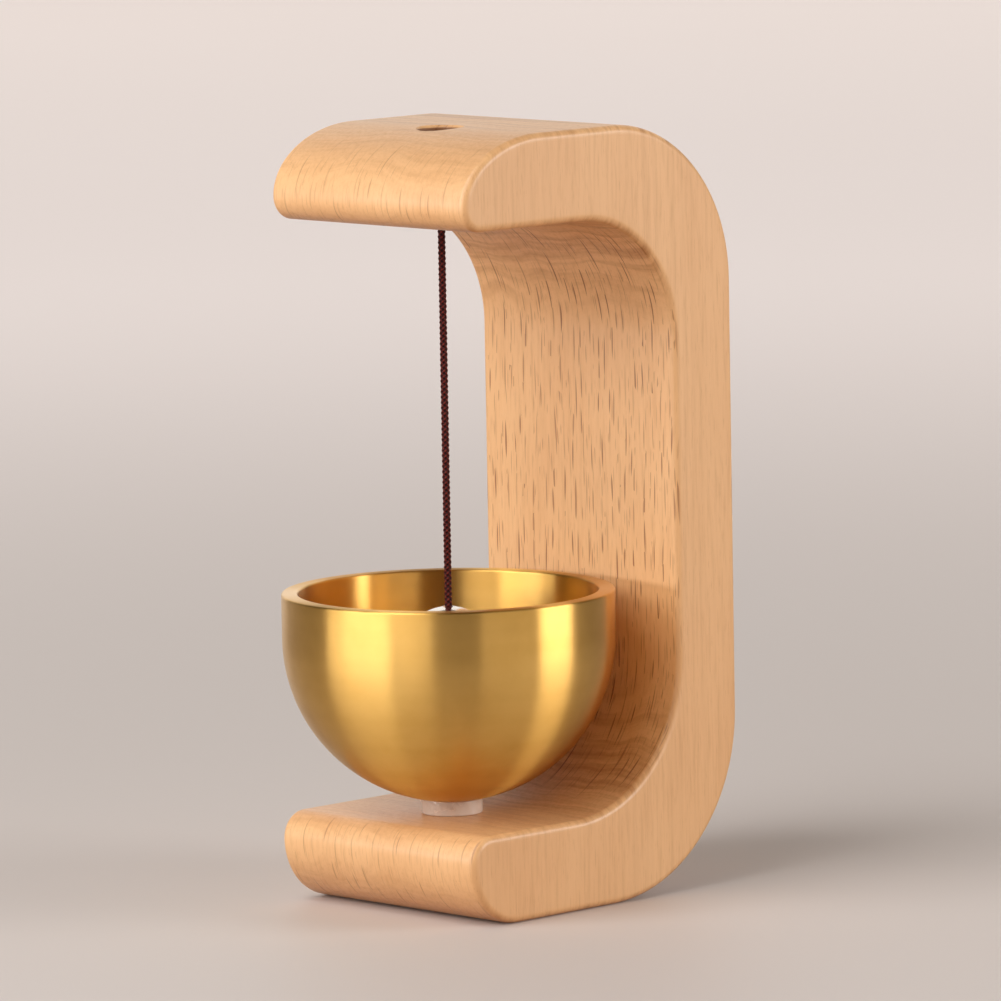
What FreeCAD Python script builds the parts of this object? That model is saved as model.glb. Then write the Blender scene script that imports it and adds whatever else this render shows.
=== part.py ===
# Desk bell. A brass bowl bell is screwed to the lower arm of a C-shaped beech frame, and a ball
# clapper hangs into it on a cord from the upper arm.
# Millimetres, +Z up. The origin is on the table plane, on the bell's axis. +X runs across the
# frame, -Y is the frame's open side and +Y its flat back.
import FreeCAD, Part
import math
import os

V = FreeCAD.Vector
UP = V(0, 0, 1)

# --- Driving dimensions -------------------------------------------------------------------------

# Bowl: a hemisphere that runs up into a short straight wall.
bowl_radius = 25.0
bowl_wall = 2.5
bowl_straight = 6.81
bowl_seat_radius = 5.0
bowl_rim_break = 0.35

# Frame: one C-shaped block of beech.
frame_width = 41.0
upper_arm_reach = 15.5
lower_arm_reach = 16.0
back_thickness = 12.6
upper_arm_thickness = 13.8
lower_arm_thickness = 13.7
upper_outer_radius = 24.75
lower_outer_radius = 26.55
upper_inner_radius = 19.05
lower_inner_radius = 22.05
upper_nose_length = 16.5
upper_nose_underside_radius = 3.6
lower_nose_length = 9.7
lower_nose_top_radius = 4.0
edge_rounding = 1.1

# Room between the bowl and the frame.
bowl_to_back = 3.4
rim_to_upper_arm = 55.6

# What holds the bowl: a spacer below it, a pad and a washer in it, and a wood screw.
spacer_radius = 4.6
spacer_height = 2.35
spacer_edge_break = 0.3
pad_radius = 5.0
pad_height = 1.0
pad_edge_room = 0.9
washer_radius = 4.5
washer_height = 0.8
washer_edge_break = 0.15
screw_radius = 1.75
screw_clearance = 0.25
screw_head_radius = 3.5
screw_head_height = 2.3
screw_head_rim = 0.7
screw_tip_length = 3.0
screw_tip_radius = 0.3
recess_width = 0.9
recess_length = 4.0
recess_depth = 1.4
pilot_clearance = 0.03
pilot_relief = 0.8
wood_under_pilot = 3.85

# Clapper: a drilled ball on a knotted cord.
ball_radius = 8.0
ball_top_below_rim = 2.45
ball_bore_break = 0.3
cord_diameter = 1.2
cord_bore_clearance = 0.05
knot_radius = 1.75
knot_height = 2.8
knot_shoulder = 0.6
knot_tail = 1.6

# Upper arm's hole: a pocket for the knot above a narrow hole for the cord.
pocket_radius = 3.3
pocket_depth = 8.0
pocket_chamfer = 0.45
cord_hole_clearance = 0.5
cord_hole_mouth = 0.35
pivot_above_mouth = 0.8
turning_clearance = 0.05

# --- Sizes and places that follow ---------------------------------------------------------------

cord_radius = cord_diameter / 2
inner_radius = bowl_radius - bowl_wall
centre_above_seat = math.sqrt(bowl_radius ** 2 - bowl_seat_radius ** 2)
bowl_height = centre_above_seat + bowl_straight
floor_radius = pad_radius + pad_edge_room
bowl_floor = centre_above_seat - math.sqrt(inner_radius ** 2 - floor_radius ** 2)

inner_back_y = bowl_radius + bowl_to_back
back_y = inner_back_y + back_thickness
upper_front_y = -upper_arm_reach
lower_front_y = -lower_arm_reach

spacer_z = lower_arm_thickness
bowl_z = spacer_z + spacer_height
bowl_centre_z = bowl_z + centre_above_seat
rim_z = bowl_z + bowl_height
upper_arm_z = rim_z + rim_to_upper_arm
frame_height = upper_arm_z + upper_arm_thickness

pad_z = bowl_z + bowl_floor
washer_z = pad_z + pad_height
screw_head_z = washer_z + washer_height
screw_tip_z = wood_under_pilot + pilot_relief
screw_hole_radius = screw_radius + screw_clearance

ball_z = rim_z - ball_top_below_rim - ball_radius
ball_bottom_z = ball_z - ball_radius
pivot_z = upper_arm_z + pivot_above_mouth
pocket_floor_z = frame_height - pocket_depth
top_knot_z = pocket_floor_z + turning_clearance
anchor_end_z = pivot_z + cord_radius + turning_clearance


# --- Helpers ------------------------------------------------------------------------------------

def rod(radius, bottom, top):
    """A round bar on the bell's axis."""
    return Part.makeCylinder(radius, top - bottom, V(0, 0, bottom), UP)


def cone(bottom_radius, top_radius, bottom, top):
    """A round taper on the bell's axis."""
    return Part.makeCone(bottom_radius, top_radius, top - bottom, V(0, 0, bottom), UP)


def line(start, end):
    """A straight edge."""
    return Part.LineSegment(start, end).toShape()


def quarter(centre, start, end):
    """A quarter circle from start to end about centre."""
    middle = centre + ((start - centre) + (end - centre)) * math.sqrt(0.5)
    return Part.Arc(start, middle, end).toShape()


def quarter_ellipse(centre, start, end):
    """A quarter of an ellipse about centre, whose half axes end at start and end."""
    long_end, short_end = sorted((start, end), key=lambda tip: (tip - centre).Length, reverse=True)
    ellipse = Part.Ellipse(long_end, short_end, centre)
    return Part.ArcOfEllipse(ellipse, 0, math.pi / 2).toShape()


def turned(edges):
    """A solid turned about the bell's axis from a closed outline in the XZ plane."""
    face = Part.Face(Part.Wire(edges))
    return face.revolve(V(0, 0, 0), UP, 360)


def outline(points):
    """The straight edges round a closed outline."""
    return [line(a, b) for a, b in zip(points, points[1:] + points[:1])]


def ring(outer, inner, bottom, top, edge_break):
    """A flat washer with its outer edges broken."""
    points = [
        V(inner, 0, bottom),
        V(outer - edge_break, 0, bottom),
        V(outer, 0, bottom + edge_break),
        V(outer, 0, top - edge_break),
        V(outer - edge_break, 0, top),
        V(inner, 0, top),
    ]
    return turned(outline(points))


# --- Frame --------------------------------------------------------------------------------------

def at(y, z):
    """A point of the frame's outline, on its right side face."""
    return V(-frame_width / 2, y, z)


def frame_outline():
    """The closed C outline, from the foot round the back and over the upper arm."""
    upper_nose_drop = upper_arm_thickness - upper_nose_underside_radius
    lower_nose_rise = lower_arm_thickness - lower_nose_top_radius
    foot = at(lower_front_y + lower_nose_length, 0)
    heel = at(back_y - lower_outer_radius, 0)
    back_low = at(back_y, lower_outer_radius)
    back_high = at(back_y, frame_height - upper_outer_radius)
    crown_back = at(back_y - upper_outer_radius, frame_height)
    crown_front = at(upper_front_y + upper_nose_length, frame_height)
    upper_tip = at(upper_front_y, frame_height - upper_nose_drop)
    upper_lip = at(upper_front_y + upper_nose_underside_radius, upper_arm_z)
    ceiling_back = at(inner_back_y - upper_inner_radius, upper_arm_z)
    inside_high = at(inner_back_y, upper_arm_z - upper_inner_radius)
    inside_low = at(inner_back_y, lower_arm_thickness + lower_inner_radius)
    deck_back = at(inner_back_y - lower_inner_radius, lower_arm_thickness)
    deck_front = at(lower_front_y + lower_nose_top_radius, lower_arm_thickness)
    lower_tip = at(lower_front_y, lower_nose_rise)
    return [
        line(foot, heel),
        quarter(at(heel.y, back_low.z), heel, back_low),
        line(back_low, back_high),
        quarter(at(crown_back.y, back_high.z), back_high, crown_back),
        line(crown_back, crown_front),
        quarter_ellipse(at(crown_front.y, upper_tip.z), crown_front, upper_tip),
        quarter(at(upper_lip.y, upper_tip.z), upper_tip, upper_lip),
        line(upper_lip, ceiling_back),
        quarter(at(ceiling_back.y, inside_high.z), ceiling_back, inside_high),
        line(inside_high, inside_low),
        quarter(at(deck_back.y, inside_low.z), inside_low, deck_back),
        line(deck_back, deck_front),
        quarter(at(deck_front.y, lower_tip.z), deck_front, lower_tip),
        quarter_ellipse(at(foot.y, lower_tip.z), lower_tip, foot),
    ]


def on_side_face(edge):
    """Whether an edge lies wholly in one of the frame's two side faces."""
    box = edge.BoundBox
    return box.XLength < 1e-6 and abs(abs(box.Center.x) - frame_width / 2) < 1e-6


def knot_pocket():
    """The stepped hole through the upper arm: chamfer, pocket, cord hole and its eased mouth."""
    hole_radius = cord_radius + cord_hole_clearance
    chamfer_z = frame_height - pocket_chamfer
    chamfer = cone(pocket_radius, pocket_radius + pocket_chamfer, chamfer_z, frame_height)
    pocket = rod(pocket_radius, pocket_floor_z, frame_height)
    hole = rod(hole_radius, upper_arm_z, frame_height)
    mouth = cone(hole_radius + cord_hole_mouth, hole_radius, upper_arm_z, upper_arm_z + cord_hole_mouth)
    return chamfer.fuse([pocket, hole, mouth])


def pilot_hole():
    """The screw's blind hole in the lower arm."""
    return rod(screw_radius + pilot_clearance, wood_under_pilot, lower_arm_thickness)


def make_frame():
    block = Part.Face(Part.Wire(frame_outline())).extrude(V(frame_width, 0, 0))
    edges = [edge for edge in block.Edges if on_side_face(edge)]
    block = block.makeFillet(edge_rounding, edges)
    return block.cut([knot_pocket(), pilot_hole()])


# --- Bowl and what holds it ---------------------------------------------------------------------

def arc_about_bowl_centre(radius, start, end):
    """An arc of the bowl's section, about the centre of its hemisphere."""
    centre = V(0, 0, bowl_centre_z)
    middle = (start - centre) + (end - centre)
    middle = centre + middle.normalize() * radius
    return Part.Arc(start, middle, end).toShape()


def make_bowl():
    hole = screw_hole_radius
    seat_in = V(hole, 0, bowl_z)
    seat_out = V(bowl_seat_radius, 0, bowl_z)
    belly = V(bowl_radius, 0, bowl_centre_z)
    rim_out = V(bowl_radius, 0, rim_z - bowl_rim_break)
    rim_top_out = V(bowl_radius - bowl_rim_break, 0, rim_z)
    rim_top_in = V(inner_radius + bowl_rim_break, 0, rim_z)
    rim_in = V(inner_radius, 0, rim_z - bowl_rim_break)
    inner_belly = V(inner_radius, 0, bowl_centre_z)
    floor_out = V(floor_radius, 0, pad_z)
    floor_in = V(hole, 0, pad_z)
    return turned([
        line(seat_in, seat_out),
        arc_about_bowl_centre(bowl_radius, seat_out, belly),
        line(belly, rim_out),
        quarter(V(rim_top_out.x, 0, rim_out.z), rim_out, rim_top_out),
        line(rim_top_out, rim_top_in),
        quarter(V(rim_top_in.x, 0, rim_in.z), rim_top_in, rim_in),
        line(rim_in, inner_belly),
        arc_about_bowl_centre(inner_radius, inner_belly, floor_out),
        line(floor_out, floor_in),
        line(floor_in, seat_in),
    ])


def make_spacer():
    return ring(spacer_radius, screw_hole_radius, spacer_z, bowl_z, spacer_edge_break)


def make_pad():
    return rod(pad_radius, pad_z, washer_z).cut(rod(screw_hole_radius, pad_z, washer_z))


def make_washer():
    return ring(washer_radius, screw_hole_radius, washer_z, screw_head_z, washer_edge_break)


def make_screw():
    """A pan-head wood screw with a cross recess and a blunted tip."""
    top = screw_head_z + screw_head_height
    dome_height = screw_head_height - screw_head_rim
    dome_radius = (screw_head_radius ** 2 + dome_height ** 2) / (2 * dome_height)
    dome = Part.makeSphere(dome_radius, V(0, 0, top - dome_radius))
    head = rod(screw_head_radius, screw_head_z, top).common(dome)
    shank_end = screw_tip_z + screw_tip_length
    shank = rod(screw_radius, shank_end, screw_head_z)
    tip = cone(screw_tip_radius, screw_radius, screw_tip_z, shank_end)
    screw = head.fuse([shank, tip]).removeSplitter()
    slot = V(-recess_length / 2, -recess_width / 2, top - recess_depth)
    across = Part.makeBox(recess_length, recess_width, recess_depth, slot)
    along = Part.makeBox(recess_width, recess_length, recess_depth, V(slot.y, slot.x, slot.z))
    return screw.cut(across.fuse(along))


# --- Clapper ------------------------------------------------------------------------------------

def knot(bottom, tail_end):
    """A tied knot as a short barrel, with the cord's tail running out to tail_end."""
    top = bottom + knot_height
    waist = knot_radius - knot_shoulder
    points = [
        V(0, 0, bottom),
        V(waist, 0, bottom),
        V(knot_radius, 0, bottom + knot_shoulder),
        V(knot_radius, 0, top - knot_shoulder),
        V(waist, 0, top),
        V(0, 0, top),
    ]
    barrel = turned(outline(points))
    tail = rod(cord_radius, min(bottom, tail_end), max(top, tail_end))
    return barrel.fuse(tail).removeSplitter()


def make_top_knot():
    top = top_knot_z + knot_height
    return knot(top_knot_z, top + knot_tail)


def make_cord_in_arm():
    """The cord's short run inside the upper arm, from the knot down to the bend."""
    return rod(cord_radius, anchor_end_z, top_knot_z)


def make_hanging_cord():
    """The straight run that carries the ball. Its rounded end turns about the bend."""
    bend = Part.makeSphere(cord_radius, V(0, 0, pivot_z))
    return rod(cord_radius, ball_bottom_z, pivot_z).fuse(bend).removeSplitter()


def make_ball():
    """A drilled ball whose bore is eased at both mouths."""
    bore_radius = cord_radius + cord_bore_clearance
    mouth_radius = bore_radius + ball_bore_break
    top = ball_z + math.sqrt(ball_radius ** 2 - mouth_radius ** 2)
    bottom = 2 * ball_z - top
    ball = Part.makeSphere(ball_radius, V(0, 0, ball_z))
    return ball.cut([
        rod(bore_radius, ball_bottom_z, ball_z + ball_radius),
        cone(bore_radius, mouth_radius, top - ball_bore_break, top),
        rod(mouth_radius, top, ball_z + ball_radius),
        cone(mouth_radius, bore_radius, bottom, bottom + ball_bore_break),
        rod(mouth_radius, ball_bottom_z, bottom),
    ])


def make_ball_knot():
    bottom = ball_bottom_z - knot_height
    return knot(bottom, bottom - knot_tail)


# --- Parts --------------------------------------------------------------------------------------

PARTS = {
    "frame": make_frame,
    "bell_bowl": make_bowl,
    "bowl_spacer": make_spacer,
    "bowl_pad": make_pad,
    "screw_washer": make_washer,
    "bowl_screw": make_screw,
    "cord_top_knot": make_top_knot,
    "cord_in_arm": make_cord_in_arm,
    "clapper_cord": make_hanging_cord,
    "clapper_ball": make_ball,
    "clapper_knot": make_ball_knot,
}


def swing_limit():
    """How far the clapper swings, in degrees, before the ball meets the bowl's wall."""
    length = pivot_z - ball_z
    drop = pivot_z - bowl_centre_z
    room = inner_radius - ball_radius
    return math.degrees(math.acos((length ** 2 + drop ** 2 - room ** 2) / (2 * length * drop)))


def main():
    os.makedirs("parts", exist_ok=True)
    for name, make in PARTS.items():
        shape = make()
        shape.exportStep(f"parts/{name}.step")
        box = shape.BoundBox
        print(
            f"{name}: {len(shape.Solids)} solid, valid {shape.isValid()}, {shape.Volume:.2f} mm3, "
            f"z {box.ZMin:.2f} to {box.ZMax:.2f}"
        )
    cord_length = top_knot_z - ball_bottom_z
    print(f"frame height {frame_height:.2f}, depth {back_y - lower_front_y:.2f}, width {frame_width:.2f}")
    print(f"screw length {screw_head_z - screw_tip_z:.2f}")
    print(f"cord: one straight run {cord_length:.2f} long between its knots, no bend")
    print(f"the ball meets the wall at {swing_limit():.2f} degrees of swing")


main()
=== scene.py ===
"""Desk bell: a beech C frame, a brass bowl bell in it, and a ball clapper on a braided cord.

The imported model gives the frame's outer size and each piece's height. The other sizes are the
fields of each class, in metres.
"""

import logging
import math
from dataclasses import dataclass, field
from enum import Enum
from functools import cache
from typing import Any, Sequence

import bmesh
import bpy
from mathutils import Matrix, Vector


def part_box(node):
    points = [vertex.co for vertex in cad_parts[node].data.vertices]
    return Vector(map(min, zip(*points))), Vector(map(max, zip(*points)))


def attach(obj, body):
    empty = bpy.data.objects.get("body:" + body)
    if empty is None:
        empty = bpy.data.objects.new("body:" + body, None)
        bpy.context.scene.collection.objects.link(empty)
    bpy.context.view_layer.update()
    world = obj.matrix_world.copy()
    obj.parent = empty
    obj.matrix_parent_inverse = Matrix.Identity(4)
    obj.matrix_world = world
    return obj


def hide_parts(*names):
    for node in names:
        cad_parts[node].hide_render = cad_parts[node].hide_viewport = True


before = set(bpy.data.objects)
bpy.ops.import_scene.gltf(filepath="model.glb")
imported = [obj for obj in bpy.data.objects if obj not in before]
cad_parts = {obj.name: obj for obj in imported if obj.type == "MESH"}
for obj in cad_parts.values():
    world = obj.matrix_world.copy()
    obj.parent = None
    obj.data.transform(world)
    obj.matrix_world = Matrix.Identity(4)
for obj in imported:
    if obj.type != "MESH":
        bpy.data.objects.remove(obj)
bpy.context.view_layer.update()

LOG = logging.getLogger("desk_bell")
MM = 0.001

Point = tuple[float, float]
Colour = tuple[float, float, float, float]
Socket = bpy.types.NodeSocket


def srgb(red: int, green: int, blue: int) -> Colour:
    """A display colour from 0 to 255 as the linear colour that shaders take, opaque."""
    shares = [value / 255 for value in (red, green, blue)]
    return (*(s / 12.92 if s <= 0.04045 else ((s + 0.055) / 1.055) ** 2.4 for s in shares), 1.0)


class Body(Enum):
    """The bodies that pieces ride on."""

    STAND = "bell_stand"
    ANCHOR = "cord_anchor"
    CLAPPER = "clapper"


# --- Materials


class Graph:
    """A material's node tree around one Principled shader."""

    def __init__(self, name: str) -> None:
        """Starts a material with an empty tree, its shader and its output."""
        self.material = bpy.data.materials.new(name)
        self.material.use_nodes = True
        self.tree = self.material.node_tree
        self.tree.nodes.clear()
        self.shader = self.node("BsdfPrincipled")
        output = self.node("OutputMaterial")
        self.feed(output.inputs["Surface"], self.shader.outputs["BSDF"])
        coordinates = self.node("TexCoord")
        self.place = coordinates.outputs["Object"]

    def node(self, kind: str) -> bpy.types.Node:
        """A new shader node of a kind."""
        return self.tree.nodes.new("ShaderNode" + kind)

    def constants(self, **values: Any) -> None:
        """Sets the shader's own sockets. An underscore in a key stands for a space."""
        for key, value in values.items():
            self.shader.inputs[key.replace("_", " ")].default_value = value

    def surface(self, colour: Socket, roughness: Socket | None = None, height: Socket | None = None,
                depth: float = 0.02 * MM) -> None:
        """Links what varies over the surface.

        Args:
            colour: The base colour.
            roughness: The roughness, where it varies.
            height: The height of the fine relief, from 0 to 1.
            depth: The relief's depth in metres.
        """
        self.feed(self.shader.inputs["Base Color"], colour)
        if roughness is not None:
            self.feed(self.shader.inputs["Roughness"], roughness)
        if height is not None:
            bump = self.node("Bump")
            bump.inputs["Strength"].default_value = 1.0
            bump.inputs["Distance"].default_value = depth
            self.feed(bump.inputs["Height"], height)
            self.feed(self.shader.inputs["Normal"], bump.outputs["Normal"])

    def feed(self, target: Socket, value: Any) -> None:
        """Links a socket to the target, or sets the target to a plain value."""
        if isinstance(value, bpy.types.NodeSocket):
            self.tree.links.new(value, target)
        else:
            target.default_value = value

    def math(self, operation: str, *values: Any) -> Socket:
        """The result of one Math node on up to three values."""
        node = self.node("Math")
        node.operation = operation
        for target, value in zip(node.inputs, values):
            self.feed(target, value)
        return node.outputs[0]

    def product(self, *values: Any) -> Socket:
        """The product of two or more values."""
        result = values[0]
        for value in values[1:]:
            result = self.math("MULTIPLY", result, value)
        return result

    def from_axis(self, x: Socket, y: Socket) -> Socket:
        """How far a place is from the upright axis."""
        return self.math("SQRT", self.math("ADD", self.product(x, x), self.product(y, y)))

    def vector(self, operation: str, first: Any, second: Any) -> Socket:
        """The result of one Vector Math node on two vectors."""
        node = self.node("VectorMath")
        node.operation = operation
        self.feed(node.inputs[0], first)
        self.feed(node.inputs[1], second)
        return node.outputs[0]

    def stretched(self, x: float, y: float, z: float) -> Socket:
        """The object's own place times a factor along each axis, counted per millimetre."""
        return self.vector("MULTIPLY", self.place, (x / MM, y / MM, z / MM))

    def parts(self, vector: Socket) -> tuple[Socket, Socket, Socket]:
        """The three components of a vector or colour."""
        node = self.node("SeparateXYZ")
        self.feed(node.inputs[0], vector)
        return node.outputs[0], node.outputs[1], node.outputs[2]

    def joined(self, x: Any, y: Any, z: Any) -> Socket:
        """A vector from three components."""
        node = self.node("CombineXYZ")
        for target, value in zip(node.inputs, (x, y, z)):
            self.feed(target, value)
        return node.outputs[0]

    def noise(self, place: Socket | tuple, scale: float = 1.0, detail: float = 3.0,
              roughness: float = 0.5) -> Socket:
        """Noise from 0 to 1 at a place, or at the object's own place times three factors."""
        node = self.node("TexNoise")
        place = self.stretched(*place) if isinstance(place, tuple) else place
        self.feed(node.inputs["Vector"], place)
        node.inputs["Scale"].default_value = scale
        node.inputs["Detail"].default_value = detail
        node.inputs["Roughness"].default_value = roughness
        return node.outputs["Fac"]

    def ranged(self, value: Socket, low: float, high: float, start: float = 0.0,
               end: float = 1.0, smooth: bool = False) -> Socket:
        """A value from low to high, mapped to start and end and held there past them."""
        node = self.node("MapRange")
        node.interpolation_type = "SMOOTHSTEP" if smooth else "LINEAR"
        for target, number in zip(node.inputs, (value, low, high, start, end)):
            self.feed(target, number)
        return node.outputs[0]

    def mixed(self, share: Any, first: Any, second: Any, blend: str = "MIX") -> Socket:
        """Two colours mixed by a share of the second one."""
        node = self.node("Mix")
        node.data_type = "RGBA"
        node.blend_type = blend
        self.feed(node.inputs["Factor"], share)
        self.feed(node.inputs[6], first)
        self.feed(node.inputs[7], second)
        return node.outputs[2]

    def attribute(self, name: str) -> Socket:
        """A number that the mesh carries on its vertices."""
        node = self.node("Attribute")
        node.attribute_name = name
        return node.outputs["Fac"]

    def facing(self) -> tuple[Socket, Socket, Socket]:
        """How squarely the surface faces along X, Y and Z, each from 0 to 1."""
        geometry = self.node("NewGeometry")
        return tuple(self.math("ABSOLUTE", side) for side in self.parts(geometry.outputs["Normal"]))


@dataclass(frozen=True)
class RayFlecks:
    """The dark lens-shaped ends of beech rays. Lengths are in millimetres."""

    across: float
    along: float
    deep: float
    half_width: float
    half_height: float
    strength: float
    scatter: float = 0.75
    soft_edge: float = 0.45

    def add(self, graph: Graph, sway: Socket) -> Socket:
        """Adds one size of flecks.

        Args:
            graph: The wood's graph.
            sway: A small sideways shift of the grain, in millimetres.

        Returns:
            The flecks' strength at a place, from 0 to 1.
        """
        cell = (self.across, self.deep, self.along)
        place = graph.vector("ADD", graph.stretched(1, 1, 1), graph.joined(sway, 0.0, 0.0))
        cells = graph.vector("DIVIDE", place, cell)
        node = graph.node("TexVoronoi")
        node.inputs["Scale"].default_value = 1.0
        node.inputs["Randomness"].default_value = self.scatter
        graph.feed(node.inputs["Vector"], cells)
        offset = graph.vector("SUBTRACT", cells, node.outputs["Position"])
        x, _, z = graph.parts(graph.vector("MULTIPLY", offset, cell))
        length, chance, _ = graph.parts(node.outputs["Color"])
        height = graph.ranged(length, 0, 1, 0.5 * self.half_height, 1.3 * self.half_height)
        rise = graph.math("DIVIDE", z, height)
        bulge = graph.math("SUBTRACT", 1.0, graph.product(rise, rise))
        width = graph.math("DIVIDE", graph.math("ABSOLUTE", x), self.half_width)
        lens = graph.ranged(graph.math("SUBTRACT", bulge, width), 0, self.soft_edge, smooth=True)
        share = graph.ranged(chance, 0.05, 0.85, 0.25 * self.strength, self.strength)
        return graph.product(lens, share)


@dataclass(frozen=True)
class Beech:
    """Natural beech under a satin lacquer. Its fibres run up Z, and its rays along Y.

    Sways are in millimetres. Each pair is where a change starts and ends, also in millimetres.
    """

    pale: Colour = srgb(240, 192, 138)
    warm: Colour = srgb(220, 165, 110)
    fleck: Colour = srgb(132, 66, 22)
    ring: Colour = srgb(176, 115, 66)
    end_grain: Colour = srgb(218, 164, 116)
    # The colour of the painted shade inside the cord's pocket.
    bore: Colour = srgb(112, 58, 28)
    large: RayFlecks = RayFlecks(2.1, 8.0, 30.0, 0.17, 3.1, 0.85)
    small: RayFlecks = RayFlecks(1.3, 5.0, 26.0, 0.11, 1.8, 0.5)
    ring_sway: float = 5.0
    fleck_sway: float = 1.4
    # Where the ring figure strengthens and fades along Y: it is darkest on the C's inner curves,
    # partly real figure and partly painted shade in the inner corners.
    rings_and_shade_strengthen: Point = (-4.0, 16.0)
    rings_and_shade_fade: Point = (29.0, 35.0)
    flecks_strengthen: Point = (-12.0, 18.0)
    # Where the painted shade inside the pocket starts and ends: across its wall, up from its floor
    # and down from its mouth.
    pocket_shade_wall: Point = (3.5, 3.35)
    pocket_shade_floor: Point = (104.2, 105.0)
    pocket_shade_mouth: Point = (116.72, 116.3)

    def build(self) -> bpy.types.Material:
        """The wood's material."""
        graph = Graph("satin_beech")
        _, inward, upward = graph.facing()
        x, y, z = graph.parts(graph.stretched(1, 1, 1))
        drift = graph.noise((0.05, 0.03, 0.012), detail=2.0)
        sway = graph.product(graph.math("SUBTRACT", drift, 0.5), self.ring_sway)
        across_rings = graph.math("ADD", graph.product(y, 0.75), sway)
        ring_place = graph.joined(graph.product(x, 0.035), across_rings, graph.product(z, 0.006))
        rings = graph.noise(ring_place, detail=4.0, roughness=0.6)
        fibre = graph.noise((1.7, 1.7, 0.11), detail=4.0, roughness=0.62)
        pores = graph.noise((7, 7, 0.4), detail=2.0)
        tone = graph.noise((0.06, 0.06, 0.02), detail=2.0)

        colour = graph.mixed(graph.ranged(tone, 0.3, 0.7, 0.0, 0.45), self.pale, self.warm)
        cut_across = graph.ranged(upward, 0.5, 0.95, smooth=True)
        colour = graph.mixed(graph.product(cut_across, 0.45), colour, self.end_grain)
        # Ring figure: stronger on slanting faces, and strongest on the inner curves, where the
        # darker bands are partly painted shade.
        slanting_and_inner_shade = graph.product(
            graph.ranged(upward, 0.1, 0.55, 0.4, 2.3),
            graph.ranged(y, *self.rings_and_shade_strengthen, 0.4, 1.0),
            graph.ranged(y, *self.rings_and_shade_fade, 1.0, 0.5),
        )
        ring_and_shade_share = graph.product(graph.ranged(rings, 0.44, 0.64, 0.0, 0.26), slanting_and_inner_shade)
        colour = graph.mixed(ring_and_shade_share, colour, self.ring)
        for source, low, high, most, tint in (
                (fibre, 0.5, 0.75, 0.22, self.ring),
                (fibre, 0.5, 0.28, 0.25, self.pale),
                (pores, 0.6, 0.75, 0.3, self.ring)):
            colour = graph.mixed(graph.ranged(source, low, high, 0.0, most), colour, tint)

        bend = graph.noise((0.3, 0.1, 0.05), detail=1.0)
        shift = graph.product(graph.math("SUBTRACT", bend, 0.5), self.fleck_sway)
        flecks = graph.product(
            graph.math("MAXIMUM", self.large.add(graph, shift), self.small.add(graph, shift)),
            graph.ranged(inward, 0.25, 0.65, smooth=True),
            graph.ranged(y, *self.flecks_strengthen, 0.5, 1.0),
        )
        colour = graph.mixed(graph.product(flecks, 0.9), colour, self.fleck)
        # Painted shade: the pocket's wall and floor are darkened in the bore colour.
        pocket_shade = graph.product(
            graph.ranged(graph.from_axis(x, y), *self.pocket_shade_wall, 0.0, 0.8),
            graph.ranged(z, *self.pocket_shade_floor),
            graph.ranged(z, *self.pocket_shade_mouth),
        )
        colour = graph.mixed(pocket_shade, colour, self.bore)

        height = graph.math("SUBTRACT", graph.product(fibre, 0.4), flecks)
        height = graph.math("SUBTRACT", height, graph.ranged(pores, 0.6, 0.75, 0.0, 0.4))
        graph.surface(colour, graph.ranged(fibre, 0.3, 0.7, 0.36, 0.5), height, 0.025 * MM)
        graph.constants(Specular_IOR_Level=0.45, Coat_Weight=0.28, Coat_Roughness=0.32)
        return graph.material


@dataclass(frozen=True)
class TurnedBrass:
    """Satin brass with fine rings from the lathe, with a painted warm reflection that makes it
    deeper in colour down its height.
    """

    gold: Colour = (0.80, 0.49, 0.14, 1.0)
    deep: Colour = (0.60, 0.32, 0.06, 1.0)
    painted_reflection_deepens: Point = (40.0, 18.0)

    def build(self) -> bpy.types.Material:
        """The brass material."""
        graph = Graph("turned_brass")
        along = graph.attribute("along")
        x, y, z = graph.parts(graph.stretched(1, 1, 1))
        ring_place = graph.joined(graph.product(x, 0.02), graph.product(y, 0.02), along)
        fine = graph.noise(ring_place, scale=3.2, detail=5.0, roughness=0.75)
        broad = graph.noise(ring_place, scale=0.22, detail=2.0)
        handled = graph.noise((0.09, 0.09, 0.09), detail=4.0, roughness=0.6)
        # Painted reflection of a warm floor: the brass deepens in colour towards the bottom.
        # Handling marks and broad patches add random tone on top.
        share = graph.ranged(z, *self.painted_reflection_deepens, 0.0, 0.55, smooth=True)
        for source, high, most in ((handled, 0.75, 0.35), (broad, 0.7, 0.2)):
            share = graph.math("ADD", share, graph.ranged(source, 0.4, high, 0.0, most))
        colour = graph.mixed(share, self.gold, self.deep)
        roughness = graph.math("ADD", graph.ranged(fine, 0.3, 0.7, 0.305, 0.35),
                               graph.ranged(handled, 0.4, 0.7, 0.0, 0.04))
        graph.surface(colour, roughness, fine, 0.0018 * MM)
        graph.constants(Metallic=1.0, Anisotropic=1.0, Anisotropic_Rotation=0.25)
        tangent = graph.node("Tangent")
        tangent.direction_type = "RADIAL"
        tangent.axis = "Z"
        graph.feed(graph.shader.inputs["Tangent"], tangent.outputs["Tangent"])
        return graph.material


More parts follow.
